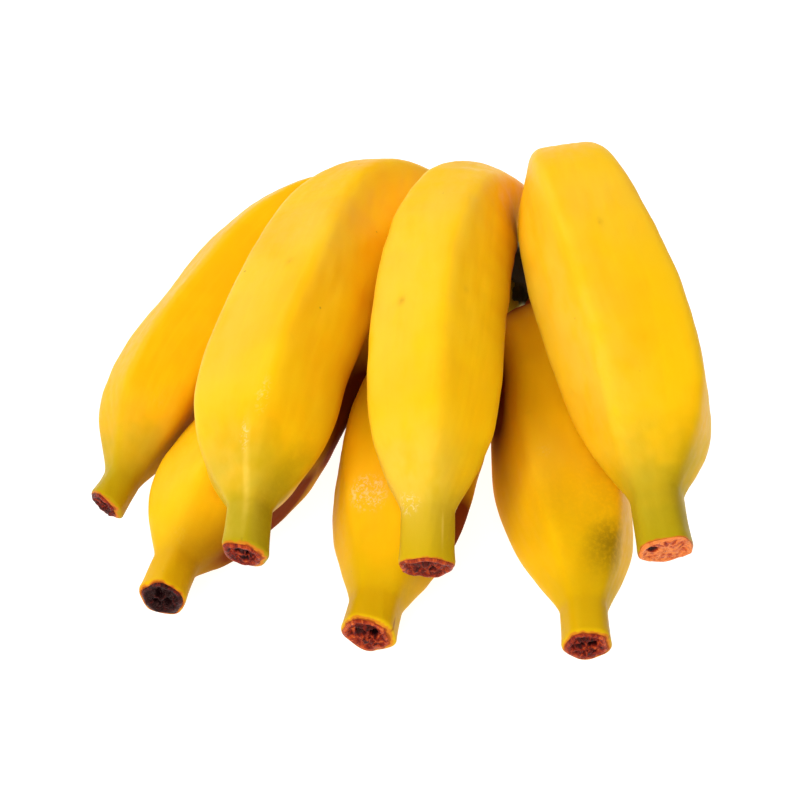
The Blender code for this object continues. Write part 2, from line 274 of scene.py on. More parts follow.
def smooth_path(points, count):
    """Evenly spaced points along a natural cubic spline through the points, and its length."""
    points = np.array(points, dtype=float)
    chords = np.sqrt(np.linalg.norm(np.diff(points, axis=0), axis=1))
    knots = np.concatenate(([0.0], np.cumsum(chords)))
    spans = np.diff(knots)
    size = len(points)
    matrix = np.eye(size)
    right = np.zeros((size, 3))
    slopes = np.diff(points, axis=0) / spans[:, None]
    for i in range(1, size - 1):
        matrix[i, i - 1:i + 2] = spans[i - 1], 2.0 * (spans[i - 1] + spans[i]), spans[i]
        right[i] = 6.0 * (slopes[i] - slopes[i - 1])
    bends = np.linalg.solve(matrix, right)
    fine = np.linspace(0.0, knots[-1], PATH_SAMPLES)
    i = np.clip(np.searchsorted(knots, fine, side="right") - 1, 0, size - 2)
    before = (knots[i + 1] - fine)[:, None]
    after = (fine - knots[i])[:, None]
    span = spans[i][:, None]
    curve = (bends[i] * before ** 3 + bends[i + 1] * after ** 3) / (6.0 * span)
    curve += (points[i] / span - bends[i] * span / 6.0) * before
    curve += (points[i + 1] / span - bends[i + 1] * span / 6.0) * after
    steps = np.linalg.norm(np.diff(curve, axis=0), axis=1)
    travelled = np.concatenate(([0.0], np.cumsum(steps)))
    even = np.linspace(0.0, travelled[-1], count)
    placed = np.stack([np.interp(even, travelled, curve[:, axis]) for axis in range(3)], axis=1)
    return placed, travelled[-1]


def path_frames(path):
    """Tangent, upward and sideways directions at each point, carried along without twist."""
    tangents = np.gradient(path, axis=0)
    tangents /= np.linalg.norm(tangents, axis=1)[:, None]
    ups = np.zeros_like(path)
    anchor = int(ANCHOR * len(path))
    start = np.array((0.0, 0.0, 1.0))
    start -= tangents[anchor] * (start @ tangents[anchor])
    ups[anchor] = start / np.linalg.norm(start)
    forward = [(i, i - 1) for i in range(anchor + 1, len(path))]
    backward = [(i, i + 1) for i in range(anchor - 1, -1, -1)]
    for here, there in forward + backward:
        carried = ups[there] - tangents[here] * (ups[there] @ tangents[here])
        ups[here] = carried / np.linalg.norm(carried)
    return tangents, ups, np.cross(tangents, ups)


def swell(distance, start, scale, power):
    """0 up to start, then an easy rise towards 1."""
    beyond = np.maximum(distance - start, 0.0) / scale
    return 1.0 - np.exp(-beyond ** power)


def smooth_step(x, low=0.0, high=1.0):
    x = np.clip((x - low) / (high - low), 0.0, 1.0)
    return x * x * (3.0 - 2.0 * x)


def ridged_section(angles, ridges, sharpness):
    """Radius in each direction of a rounded polygon with its corners at the ridge angles."""
    corners = np.sort(np.radians(ridges) % (2.0 * math.pi))
    ahead = np.roll(corners, -1)
    ahead[-1] += 2.0 * math.pi
    flats = 0.5 * (corners + ahead)
    reach = np.maximum(np.cos(angles[:, None] - flats[None, :]), 0.0)
    radius = (reach ** sharpness).sum(axis=1) ** (-1.0 / sharpness)
    return radius / radius.mean()


def wobble(points, size, seed):
    """A smooth random field over points, about -1 to 1, with features of roughly that size."""
    draw = np.random.default_rng(seed)
    total = np.zeros(points.shape[:-1])
    for _ in range(WAVES):
        direction = draw.normal(size=3)
        direction /= np.linalg.norm(direction)
        frequency = 2.0 * math.pi / (size * draw.uniform(*WAVE_SPREAD))
        total += np.sin(points @ direction * frequency + draw.uniform(0.0, 2.0 * math.pi))
    return total / math.sqrt(WAVES)


def wobbles(points, fields, seed):
    """A sum of random fields, each given as its height and size."""
    return sum(height * wobble(points, size, seed + i) for i, (height, size) in enumerate(fields))


def angle_between(a, b):
    """Smallest difference of two angles in degrees."""
    return (a - b + 180.0) % 360.0 - 180.0


def ring_spots(spots, from_tip, degrees, radii):
    """How strongly each point of a finger lies in one of its spots."""
    total = np.zeros((len(from_tip), len(degrees)))
    for distance, angle, length, width, strength in spots:
        across = np.radians(angle_between(degrees, angle))[None, :] * radii[:, None] / width
        along = (from_tip[:, None] - distance) / length
        total = np.maximum(total, strength * np.exp(-across ** 2 - along ** 2))
    return total


def scar_relief(left, up, look, seed):
    """Height, darkness and paleness of a scar, over its plane in units of its radius; the darkness
    is that of its chambers and of the lip's painted shadow.
    """
    radius = np.hypot(left, up)
    spot = np.stack((left, up, np.zeros_like(left)), axis=-1)
    draw = np.random.default_rng(seed)
    turns = np.arange(0.0, 360.0, 360.0 / LOBES)
    turns = np.radians(turns + draw.uniform(-LOBE_JITTER, LOBE_JITTER, LOBES))
    reach = draw.uniform(*LOBE_REACH, LOBES)
    across = np.append(reach * np.sin(turns), LOBE_MIDDLE[0])
    above = np.append(reach * np.cos(turns), LOBE_MIDDLE[1])
    bent = wobbles(spot, [LOBE_BEND], seed + 3)
    far = np.hypot(left[:, None] - across + bent[:, None], up[:, None] - above - bent[:, None])
    far.sort(axis=1)
    net = np.exp(-((far[:, 1] - far[:, 0]) / NET_WIDTH) ** 2)
    height = LOBE_HEIGHT * np.maximum(1.0 - (far[:, 0] / LOBE_SIZE) ** 2, LOBE_LOW)
    height += NET_HEIGHT * net
    height += wobbles(spot, SCAR_GRAIN, seed)
    # the lip's painted shadow on the scar's upper part
    hole = LIP_PAINTED_SHADOW * smooth_step(up, *TOP_SHADOW) * (1.0 - smooth_step(radius, TOP_FADE))
    for i, depth in enumerate(look["holes"]):
        turn = math.radians(look["turn"] + 120.0 * i)
        away = np.hypot(left - look["spread"] * math.sin(turn),
                        up - look["spread"] * math.cos(turn))
        away = away + wobbles(spot, [CHAMBER_BEND], seed + 7 + i)
        inside = 1.0 - smooth_step(away, CHAMBER_FLOOR, CHAMBER_WALL)
        height += inside * (CHAMBER_RISE - CHAMBER_DEPTH * depth)
        hole = np.maximum(hole, inside * depth)
        rim = np.exp(-((away - CHAMBER_RIM[0]) / CHAMBER_RIM[1]) ** 2)
        net = np.maximum(net, CHAMBER_RIM_PALE * rim)
    height *= look["relief"] * (1.0 - smooth_step(radius, RELIEF_END, 1.0))
    return height, hole, net * (1.0 - hole)


def finger_surface(name):
    """Rings of points of a finger and, for each point, the values that its materials read."""
    finger = FINGERS[name]
    seed = 100 * sorted(FINGERS).index(name)
    length = smooth_path(finger["path"], 2)[1]
    count = int(round(length / STEP)) + 1
    path = smooth_path(finger["path"], count)[0]
    tangents, ups, sides = path_frames(path)
    from_stalk = np.linspace(0.0, length, count)
    from_tip = length - from_stalk
    neck = finger["neck"] / finger["body"]
    stalk = STALK_RADIUS / finger["body"]
    body_share = swell(from_tip, finger["swell"][2], finger["swell"][1], NECK_POWER)
    stalk_share = swell(from_stalk, STALK_LENGTH, finger["swell"][0], STALK_POWER)
    radii = finger["body"] * (neck + (1.0 - neck) * body_share)
    radii *= stalk + (1.0 - stalk) * stalk_share
    radii += TIP_FLARE * np.exp(-from_tip / TIP_FLARE_REACH)
    sharpness = END_SHARPNESS + (BODY_SHARPNESS - END_SHARPNESS) * body_share * stalk_share
    along = from_stalk / length
    twist = finger["twist"][0] * (1.0 - smooth_step(along / TWIST_MIDDLE))
    twist = twist + finger["twist"][1] * smooth_step((along - TWIST_MIDDLE) / (1.0 - TWIST_MIDDLE))
    angles = np.linspace(0.0, 2.0 * math.pi, AROUND, endpoint=False)
    degrees = np.degrees(angles)
    points = np.zeros((count, AROUND, 3))
    ridge = np.zeros((count, AROUND))
    for i in range(count):
        ridges = np.array(finger["ridges"]) + twist[i]
        reach = radii[i] * ridged_section(angles, ridges, sharpness[i])
        points[i] = path[i] + np.outer(reach * np.cos(angles), ups[i])
        points[i] += np.outer(reach * np.sin(angles), sides[i])
        nearest = np.abs(angle_between(degrees[:, None], ridges[None, :])).min(axis=1)
        ridge[i] = np.exp(-(nearest / RIDGE_WIDTH) ** 2)
    outward = points - path[:, None, :]
    outward /= np.linalg.norm(outward, axis=2)[:, :, None]
    body_only = (body_share * stalk_share)[:, None]
    lumps = wobbles(points, LUMPS, seed + 1)
    creases = wobbles(points * CREASE_STRETCH, [CREASE], seed + 3)
    points += outward * (lumps * body_only + creases)[:, :, None]
    values = {
        "from_tip": np.repeat(from_tip[:, None], AROUND, axis=1),
        "from_stalk": np.repeat(from_stalk[:, None], AROUND, axis=1),
        "ridge": ridge,
    }
    for key in ("marks", "haze", "flakes", "bruises", "shades"):
        values[key] = ring_spots(finger[key], from_tip, degrees, radii)
    local = np.zeros((count, AROUND, 3))
    local[:, :, 0] = radii[:, None] * np.sin(angles)[None, :]
    local[:, :, 1] = radii[:, None] * np.cos(angles)[None, :]
    local[:, :, 2] = from_stalk[:, None]
    values["grain"] = local + GRAIN_APART * sorted(FINGERS).index(name)
    return finger, seed, path, (tangents, ups, sides), points, values


def coarse_tree(surfaces):
    """A search tree of all fingers, roughly."""
    corners, faces = [], []
    for _, _, _, _, points, _ in surfaces.values():
        coarse = points[::COARSE_RING, ::COARSE_CORNER]
        start = sum(len(some) for some in corners)
        corners.append(coarse.reshape(-1, 3))
        faces += (tube_faces(len(coarse), coarse.shape[1]) + start).tolist()
    return BVHTree.FromPolygons(np.concatenate(corners).tolist(), faces)


def sky_share(tree, point, normal):
    """Share of the sky above a point of skin that the fingers hide."""
    steps = np.arange(SKY_RAYS) + 0.5
    height = np.sqrt(1.0 - steps / SKY_RAYS)
    spin = steps * math.pi * (3.0 - math.sqrt(5.0))
    flat = np.sqrt(1.0 - height ** 2)
    hemisphere = np.stack((flat * np.cos(spin), flat * np.sin(spin), height), axis=1)
    across = np.cross(normal, SKY_ASKEW)
    across /= np.linalg.norm(across)
    start = Vector(point + SKY_LIFT * normal)
    rays = hemisphere @ np.stack((across, np.cross(normal, across), normal))
    hits = sum(tree.ray_cast(start, Vector(ray), SKY_REACH)[0] is not None for ray in rays)
    return hits / SKY_RAYS


def sky_hidden(surfaces, tree):
    """For every point of each finger, how much painted shade its skin gets where fingers hide the
    sky.
    """
    hidden = {}
    for name, (_, _, path, _, points, _) in surfaces.items():
        rings = list(range(0, len(points), COARSE_RING))
        if rings[-1] != len(points) - 1:
            rings.append(len(points) - 1)
        share = np.zeros((len(rings), AROUND // COARSE_CORNER))
        for row, ring in enumerate(rings):
            for column in range(share.shape[1]):
                point = points[ring, column * COARSE_CORNER]
                normal = point - path[ring]
                normal /= np.linalg.norm(normal)
                share[row, column] = smooth_step(sky_share(tree, point, normal), SKY_OPEN, 1.0)
        share = np.concatenate((share, share[:, :1]), axis=1)
        columns = np.arange(share.shape[1]) * COARSE_CORNER
        wide = np.array([np.interp(np.arange(AROUND), columns, line) for line in share])
        every = np.arange(len(points))
        columns = [np.interp(every, rings, wide[:, i]) for i in range(AROUND)]
        hidden[name] = np.stack(columns, axis=1)
    return hidden


def add_scar(finger, seed, path, axes, points, values):
    """Round the last ring over the neck's edge, up a ragged lip and across the blossom scar."""
    outward = axes[0]
    end = path[-1]
    edge = points[-1] - end
    size = np.linalg.norm(edge, axis=1)[:, None]
    angles = np.linspace(0.0, 2.0 * math.pi, AROUND, endpoint=False)
    circle = np.stack((np.sin(angles), np.cos(angles), np.zeros(AROUND)), axis=1)
    ragged = np.clip(wobbles(circle, LIP_RAGGED, seed + 20), *LIP_LIMITS)[:, None]
    direction, amount = finger["scar"]["lean"]
    inset = finger["scar"]["inset"] + amount * np.cos(angles - math.radians(direction))
    inset = np.maximum(inset + wobbles(circle, [INSET_WAVER], seed + 22), INSET_LEAST)[:, None]
    # holes gathers, ring by ring, the darker chambers and the lip's painted shadow
    rings, edges, holes, pale = [], [], [], []
    for turn in np.linspace(0.0, 0.5 * math.pi, EDGE_RINGS + 1)[1:]:
        ring = end + edge * (1.0 - inset * (1.0 - math.cos(turn)) / size)
        rings.append(ring + outward * EDGE_RISE * math.sin(turn))
        edges.append(np.full(AROUND, EDGE_START * (1.0 - turn / (0.5 * math.pi))))
        holes.append(np.zeros(AROUND))
        pale.append(np.zeros(AROUND))
    for rise, further, share, light in LIP:
        ring = end + edge * (1.0 - (inset + further) / size)
        rings.append(ring + outward * (EDGE_RISE + rise + share * ragged))
        edges.append(np.full(AROUND, -further))
        holes.append(np.zeros(AROUND))
        pale.append(np.full(AROUND, light))
    inner = 1.0 - (inset + LIP[-1][1] + SCAR_MARGIN) / size
    depth = SCAR_DEPTH * finger["scar"]["relief"]
    low = EDGE_RISE - depth
    for share in np.linspace(1.0, SCAR_MIDDLE, SCAR_RINGS)[1:]:
        left = share * np.sin(angles)
        upward = share * np.cos(angles)
        height, hole, ring_light = scar_relief(left, upward, finger["scar"], seed + 30)
        blend = smooth_step(share, SCAR_SLOPE, 1.0)
        level = low + blend * (depth + SCAR_RAGGED * ragged[:, 0]) + size.mean() * height
        rings.append(end + edge * inner * share + outward * level[:, None])
        edges.append(np.full(AROUND, EDGE_PAST))
        holes.append(hole)
        pale.append(ring_light)
    rings = np.array(rings)
    body_rings = len(points)
    turn = math.radians(direction)
    toward = math.cos(turn) * axes[1] + math.sin(turn) * axes[2]
    tilt = finger["scar"]["tilt"]
    felt = smooth_step(values["from_tip"][:, 0], TILT_REACH, 0.0)
    centres = np.concatenate((path[:1], path))
    shift = tilt * felt[:, None] * ((points - centres[:, None, :]) @ toward)
    points = points + shift[:, :, None] * outward
    rings = rings + (tilt * ((rings - end) @ toward))[:, :, None] * outward
    for key, body in values.items():
        last = np.repeat(body[-1:], len(rings), axis=0)
        if key == "grain":
            apart = body[0, 0, 2]    # the finger's offset, the same along each axis
            share = np.linalg.norm(rings - end, axis=2) / size[None, :, 0]
            last[:, :, :2] = apart + (last[:, :, :2] - apart) * share[:, :, None]
        values[key] = np.concatenate((body, last))
    for key, rows in (("edge", edges), ("hole", holes), ("pale", pale)):
        body = np.zeros((body_rings, AROUND))
        if key == "edge":
            body = values["from_tip"][:body_rings] + EDGE_START
        values[key] = np.concatenate((body, np.array(rows)))
    return np.concatenate((points, rings)), values, body_rings


def tube_faces(rings, size):
    """Quads between neighbouring rings."""
    grid = np.arange(rings * size).reshape(rings, size)
    one = grid[:-1]
    other = grid[1:]
    turned_one = np.roll(one, -1, axis=1)
    turned_other = np.roll(other, -1, axis=1)
    return np.stack((one, turned_one, turned_other, other), axis=-1).reshape(-1, 4)


def to_metres(points):
    return (points - ORIGIN) * MM


def add_object(name, data):
    thing = bpy.data.objects.new(name, data)
    bpy.context.scene.collection.objects.link(thing)
    return thing


def store(data, key, rows):
    """Keep a number or a vector for each point of a mesh, for its material to read."""
    vector = rows.ndim == 2
    cells = data.attributes.new(key, "FLOAT_VECTOR" if vector else "FLOAT", "POINT")
    cells.data.foreach_set("vector" if vector else "value", rows.astype(np.float32).ravel())


def mesh_object(name, points, quads, caps, values):
    """An object from rings of points, closed by fans, with values stored for each point."""
    flat = np.concatenate((points.reshape(-1, 3), [point for point, _, _ in caps]))
    faces = [tuple(face) for face in quads.tolist()]
    size = points.shape[1]
    for i, (_, start, turn) in enumerate(caps):
        centre = points.shape[0] * size + i
        for j in range(size):
            pair = (start + j, start + (j + 1) % size)
            faces.append((centre, *(pair if turn else pair[::-1])))
    flat[:, 2] = np.maximum(flat[:, 2], 0.0)    # nothing dips into the floor
    data = bpy.data.meshes.new(name)
    data.from_pydata(to_metres(flat).tolist(), [], faces)
    for key, rows in values.items():
        shape = (-1, 3) if rows.ndim == 3 else (-1,)
        ends = [rows[start // size].mean(axis=0) for _, start, _ in caps]
        store(data, key, np.concatenate((rows.reshape(shape), np.array(ends).reshape(shape))))
    data.shade_smooth()
    return add_object(name, data)


def make_finger(name, surface, hidden, peel, scar):
    """A finger with its stalk's root, peel and blossom scar, in place of its solid."""
    finger, seed, path, (tangents, ups, sides), points, values = surface
    values["hidden"] = hidden
    root = points[0] - tangents[0] * ROOT
    points = np.concatenate((root[None], points))
    values = {key: np.concatenate((rows[:1], rows)) for key, rows in values.items()}
    axes = (tangents[-1], ups[-1], sides[-1])
    points, values, body_rings = add_scar(finger, seed, path, axes, points, values)
    quads = tube_faces(len(points), AROUND)
    caps = [(points[0].mean(axis=0), 0, False),
            (points[-1].mean(axis=0), (len(points) - 1) * AROUND, True)]
    for key in ("green", "warm"):
        values[key] = np.full(values["ridge"].shape, finger[key])
    values["tone"] = np.full(values["ridge"].shape, finger["scar"]["tone"])
    thing = mesh_object(name + "_fruit", points, quads, caps, values)
    thing.data.materials.append(peel)
    thing.data.materials.append(scar)
    first_scar = (body_rings + EDGE_RINGS - 1) * AROUND
    for face in thing.data.polygons:
        if min(face.vertices) >= first_scar:
            face.material_index = 1
    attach(thing, "root")
    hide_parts(name)


class Graph:
    """A material's nodes, made and linked with short calls."""

    def __init__(self, name):
        self.material = bpy.data.materials.new(name)
        self.material.use_nodes = True
        self.tree = self.material.node_tree
        self.shader = self.tree.nodes["Principled BSDF"]

    def put(self, socket, value):
        if isinstance(value, bpy.types.NodeSocket):
            self.tree.links.new(value, socket)
        else:
            socket.default_value = value

    def node(self, kind, output, inputs, **settings):
        """One output of a new node; each of its inputs is a value or another node's output."""
        node = self.tree.nodes.new("ShaderNode" + kind)
        for key, value in settings.items():
            setattr(node, key, value)
        for key, value in inputs.items():
            self.put(node.inputs[key], value)
        return node.outputs[output]

    def surface(self, inputs):
        for key, value in inputs.items():
            self.put(self.shader.inputs[key], value)

    def attribute(self, name, vector=False):
        return self.node("Attribute", "Vector" if vector else "Fac", {}, attribute_name=name)

    def scaled(self, vector, factors):
        return self.node("VectorMath", 0, {0: vector, 1: factors}, operation="MULTIPLY")

    def noise(self, vector, scale, detail=2.0, rough=0.5, distortion=0.0):
        return self.node("TexNoise", "Fac", {
            "Vector": vector, "Scale": scale, "Detail": detail, "Roughness": rough,
            "Distortion": distortion})

    def cells(self, vector, scale):
        return self.node("TexVoronoi", "Distance", {"Vector": vector, "Scale": scale})

    def math(self, operation, a, b=0.0, clamp=False):
        return self.node("Math", 0, {0: a, 1: b}, operation=operation, use_clamp=clamp)

    def span(self, value, low, high, to_low=0.0, to_high=1.0):
        """Carry value from one range to another, smoothly and clamped."""
        return self.node("MapRange", "Result", {
            "Value": value, "From Min": low, "From Max": high, "To Min": to_low,
            "To Max": to_high}, interpolation_type="SMOOTHSTEP")

    def mix(self, share, a, b):
        a, b = (one if isinstance(one, bpy.types.NodeSocket) else (*one, 1.0) for one in (a, b))
        return self.node("Mix", "Result", {"Factor": share, "A": a, "B": b}, data_type="RGBA")

    def ramp(self, value, stops):
        node = self.tree.nodes.new("ShaderNodeValToRGB")
        self.put(node.inputs["Fac"], value)
        points = node.color_ramp.elements
        while len(points) < len(stops):
            points.new(0.5)
        for point, (position, colour) in zip(points, stops):
            point.position = position
            point.color = (*colour, 1.0)
        return node.outputs["Color"]

    def bump(self, height, distance, strength):
        return self.node("Bump", "Normal", {
            "Height": height, "Distance": distance, "Strength": strength})


# Colours of the peel, the scar, the crown and the floor.
YELLOW = (0.94, 0.52, 0.003)
DEEP_YELLOW = (0.92, 0.45, 0.002)
PALE_YELLOW = (0.95, 0.56, 0.005)
NECK_GREEN = (0.42, 0.30, 0.002)
STALK_GREEN = (0.50, 0.40, 0.02)
STALK_BROWN = (0.22, 0.13, 0.025)
PEEL_BROWN = (0.20, 0.07, 0.012)
# olive of bruises and of the painted shade on the right of each bottleneck
BRUISE_AND_SHADE_OLIVE = (0.30, 0.17, 0.003)
# dark red of the painted shade on the flanks between fingers and where they hide the sky
SHADE_RED = (0.17, 0.026, 0.002)
RIM_ORANGE = (0.60, 0.16, 0.012)
RIM_RED = (0.26, 0.025, 0.005)
# pale cream of the painted sheen
PAINTED_SHEEN_CREAM = (0.84, 0.58, 0.08)
# pale cream of the painted glints
PAINTED_GLINT_CREAM = (0.97, 0.80, 0.40)
SCAR_COLOURS = [(0.00, (0.008, 0.001, 0.002)), (0.22, (0.050, 0.003, 0.003)),
                (0.45, (0.23, 0.012, 0.003)), (0.68, (0.52, 0.065, 0.008)),
                (0.95, (0.86, 0.24, 0.05))]
CROWN_GREENS = ((0.36, 0.27, 0.035), (0.50, 0.41, 0.04))
CUT_COLOURS = [(0.30, (0.10, 0.045, 0.018)), (0.48, (0.28, 0.15, 0.06)),
               (0.70, (0.50, 0.33, 0.16))]
CUT_DOTS = (0.07, 0.03, 0.012)
CUT_EDGE = (0.06, 0.025, 0.010)
# near black of the painted shade on the crown where the fingers hide the sky
CROWN_PAINTED_SHADE = (0.010, 0.004, 0.002)
FLOOR_GREYS = ((0.35, 0.35, 0.346), (0.38, 0.38, 0.376))


def peel_material():
    """Ripe peel: drifts of yellow, then painted sheen, ends, blemishes, painted glints, painted
    shade on the flanks and the dry edge.
    """
    g = Graph("banana peel")
    grain = g.attribute("grain", vector=True)
    from_tip = g.attribute("from_tip")
    from_stalk = g.attribute("from_stalk")
    edge = g.attribute("edge")

    # drifts of warmer and paler yellow
    broad = g.noise(grain, 0.05, detail=2.0)
    # per finger warm: partly its own tone, partly painted light that makes the lower fingers
    # yellower
    warmth = g.math("ADD", g.span(broad, 0.68, 0.35, 0.0, 0.8), g.attribute("warm"), clamp=True)
    colour = g.mix(warmth, YELLOW, DEEP_YELLOW)
    streaks = g.noise(g.scaled(grain, (1.0, 1.0, 0.05)), 0.55, detail=3.0)
    colour = g.mix(g.span(streaks, 0.45, 0.75, 0.0, 0.30), colour, PALE_YELLOW)
    mottle = g.noise(grain, 0.9, detail=4.0, rough=0.6)
    colour = g.mix(g.span(mottle, 0.5, 0.8, 0.0, 0.16), colour, DEEP_YELLOW)

    # painted sheen on the facets, green bottleneck, green and brown stalk
    cloud = g.noise(g.scaled(grain, (1.0, 1.0, 0.6)), 0.13, detail=3.0, rough=0.55)
    # painted sheen: pale cream spots broken up by clouds, and faintly in clouds all over
    haze = g.math("MULTIPLY", g.attribute("haze"), g.span(cloud, 0.3, 0.6, 0.35, 1.0))
    haze = g.math("ADD", haze, g.span(cloud, 0.52, 0.75, 0.0, 0.03), clamp=True)
    reach = g.math("ADD", from_tip, g.span(g.noise(grain, 0.09, 2.0), 0.25, 0.75, -4.0, 4.0))
    greenish = g.math("MULTIPLY", g.attribute("green"), g.span(reach, 34.0, 7.0))
    colour = g.mix(greenish, colour, NECK_GREEN)
    colour = g.mix(g.math("MULTIPLY", haze, 0.62), colour, PAINTED_SHEEN_CREAM)
    colour = g.mix(g.span(from_stalk, 34.0, 8.0, 0.0, 0.8), colour, STALK_GREEN)
    colour = g.mix(g.span(from_stalk, 7.0, 0.0, 0.0, 0.6), colour, STALK_BROWN)

    # bruises and painted shade on the bottlenecks, worn ridges, freckles, marks, and painted glints
    # in glossier patches
    # bruises, and painted shade on the right of each bottleneck, in olive
    bruise_and_shade = g.math("MULTIPLY", g.attribute("bruises"), g.span(mottle, 0.3, 0.6, 0.7, 1.0))
    colour = g.mix(g.math("MULTIPLY", bruise_and_shade, 0.65, clamp=True), colour, BRUISE_AND_SHADE_OLIVE)
    worn = g.math("MULTIPLY", g.attribute("ridge"), g.span(g.noise(grain, 0.35, 3.0), 0.55, 0.8))
    colour = g.mix(g.math("MULTIPLY", worn, 0.05), colour, PEEL_BROWN)
    freckle = g.span(g.cells(grain, 0.12), 0.055, 0.03, 0.0, 0.4)
    freckle = g.math("MULTIPLY", freckle, g.span(g.noise(grain, 0.06), 0.5, 0.62))
    colour = g.mix(freckle, colour, PEEL_BROWN)
    mark = g.math("MULTIPLY", g.attribute("marks"), g.span(mottle, 0.25, 0.6, 0.6, 1.0))
    colour = g.mix(g.math("MULTIPLY", mark, 0.9, clamp=True), colour, RIM_RED)
    # patches of painted glints: pale specks, on skin that is also glossier and bumpier there
    flakes = g.attribute("flakes")
    crackle = g.noise(g.scaled(grain, (1.0, 1.0, 0.8)), 0.75, 4.0, 0.7, distortion=1.5)
    specks = g.span(crackle, 0.50, 0.60)
    specks = g.math("MULTIPLY", specks, g.span(flakes, 0.12, 0.55), clamp=True)
    colour = g.mix(g.math("MULTIPLY", specks, 0.45), colour, PAINTED_GLINT_CREAM)

    # painted shade on the flanks between fingers and where they hide the sky, and the dry edge
    # round the scar
    # a little painted shade wherever the fingers hide the sky
    hidden = g.math("MULTIPLY", g.attribute("hidden"), 0.15)
    painted_shade = g.math("MAXIMUM", g.attribute("shades"), hidden)
    colour = g.mix(g.math("MULTIPLY", painted_shade, 0.96, clamp=True), colour, SHADE_RED)
    line = g.math("ADD", edge, g.span(g.noise(grain, 0.4, 3.0), 0.3, 0.7, -0.25, 0.25))
    colour = g.mix(g.span(line, 0.85, 0.45, 0.0, 0.85), colour, RIM_ORANGE)
    colour = g.mix(g.span(line, 0.35, 0.1, 0.0, 0.8), colour, RIM_RED)

    # dull gloss, and pores and fine lines along the fruit
    rough = g.span(g.noise(grain, 0.5, detail=4.0), 0.3, 0.7, 0.38, 0.50)
    rough = g.math("SUBTRACT", rough, g.math("MULTIPLY", flakes, 0.12))
    rough = g.math("ADD", rough, g.math("MULTIPLY", painted_shade, 0.5), clamp=True)
    fine = g.noise(grain, 2.4, detail=3.0)
    pores = g.span(g.cells(grain, 1.1), 0.0, 0.5)
    lines = g.noise(g.scaled(grain, (1.0, 1.0, 0.06)), 1.6, detail=2.0)
    height = g.math("ADD", g.math("MULTIPLY", fine, 0.35), g.math("MULTIPLY", pores, 0.15))
    height = g.math("ADD", height, g.math("MULTIPLY", lines, 0.35))
    height = g.math("ADD", height, g.math("MULTIPLY", specks, 0.8))
    g.surface({
        "Base Color": colour, "Roughness": rough, "Normal": g.bump(height, 0.00010, 0.5),
        "Subsurface Weight": 0.10, "Subsurface Radius": (1.0, 0.4, 0.1),
        "Subsurface Scale": 0.002, "Specular IOR Level": 0.08,
        "Specular Tint": (1.0, 0.85, 0.2, 1.0)})
    return g.material


def scar_material():
    """Dry, dark red tissue, paler on its lip and on the lines between its folds."""
    g = Graph("blossom scar")
    grain = g.attribute("grain", vector=True)
    clumps = g.noise(grain, 0.75, detail=5.0, rough=0.6, distortion=0.6)
    level = g.math("ADD", g.span(clumps, 0.25, 0.75, 0.10, 0.58), g.attribute("tone"))
    level = g.math("ADD", level, g.math("MULTIPLY", g.attribute("pale"), 0.26))
    # darker in the chambers and in the lip's painted shadow
    level = g.math("SUBTRACT", level, g.math("MULTIPLY", g.attribute("hole"), 0.75), clamp=True)
    rough = g.span(g.noise(grain, 1.3, 3.0), 0.35, 0.65, 0.2, 0.6)
    height = g.math("ADD", clumps, g.math("MULTIPLY", g.noise(grain, 3.2, 4.0, 0.7), 0.4))
    g.surface({
        "Base Color": g.ramp(level, SCAR_COLOURS), "Roughness": rough,
        "Normal": g.bump(height, 0.0008, 0.8), "Specular IOR Level": 0.32,
        "Specular Tint": (1.0, 0.5, 0.4, 1.0)})
    return g.material


def stub_rings(finger):
    """The crown's root of one stalk, creeping a little over the stalk."""
    stalk = smooth_path(finger["path"], PATH_SAMPLES)[0]
    direction = stalk[0] - stalk[1]
    direction /= np.linalg.norm(direction)
    up = np.cross(direction, (1.0, 0.0, 0.0))
    up /= np.linalg.norm(up)
    side = np.cross(direction, up)
    angles = np.linspace(0.0, 2.0 * math.pi, CROWN_SIDES, endpoint=False)
    circle = np.outer(np.cos(angles), up) + np.outer(np.sin(angles), side)
    rings = []
    for along in np.linspace(-COLLAR, STUB_LENGTH, STUB_RINGS):
        grown = smooth_step(along, 0.0, STUB_LENGTH)
        radius = STALK_RADIUS + COLLAR_RISE * smooth_step(along, -COLLAR, 0.0) + COLLAR_START
        radius += (STUB_FLARE - STALK_RADIUS) * grown
        rings.append(stalk[0] + direction * along + radius * circle)
    return np.array(rings)


def cushion_rings():
    """The crown's body, with its back cut flat."""
    path = smooth_path(CROWN_PATH, CROWN_RINGS)[0]
    tangents = path_frames(path)[0]
    along = np.linspace(-1.0, 1.0, CROWN_RINGS)
    fullness = np.maximum(1.0 - np.abs(along) ** CROWN_TAPER, 0.0) ** 0.5
    fullness = np.maximum(fullness, CROWN_END)
    angles = np.linspace(0.0, 2.0 * math.pi, CROWN_SIDES, endpoint=False)
    power = 2.0 / CROWN_SQUARENESS
    across = np.sign(np.cos(angles)) * np.abs(np.cos(angles)) ** power * CROWN_DEPTH
    upward = np.sign(np.sin(angles)) * np.abs(np.sin(angles)) ** power * CROWN_HEIGHT
    rings = []
    for i in range(CROWN_RINGS):
        back = np.cross((0.0, 0.0, 1.0), tangents[i])
        back /= np.linalg.norm(back)
        section = np.outer(across, back) + np.outer(upward, (0.0, 0.0, 1.0))
        rings.append(path[i] + fullness[i] * section)
    return np.array(rings)


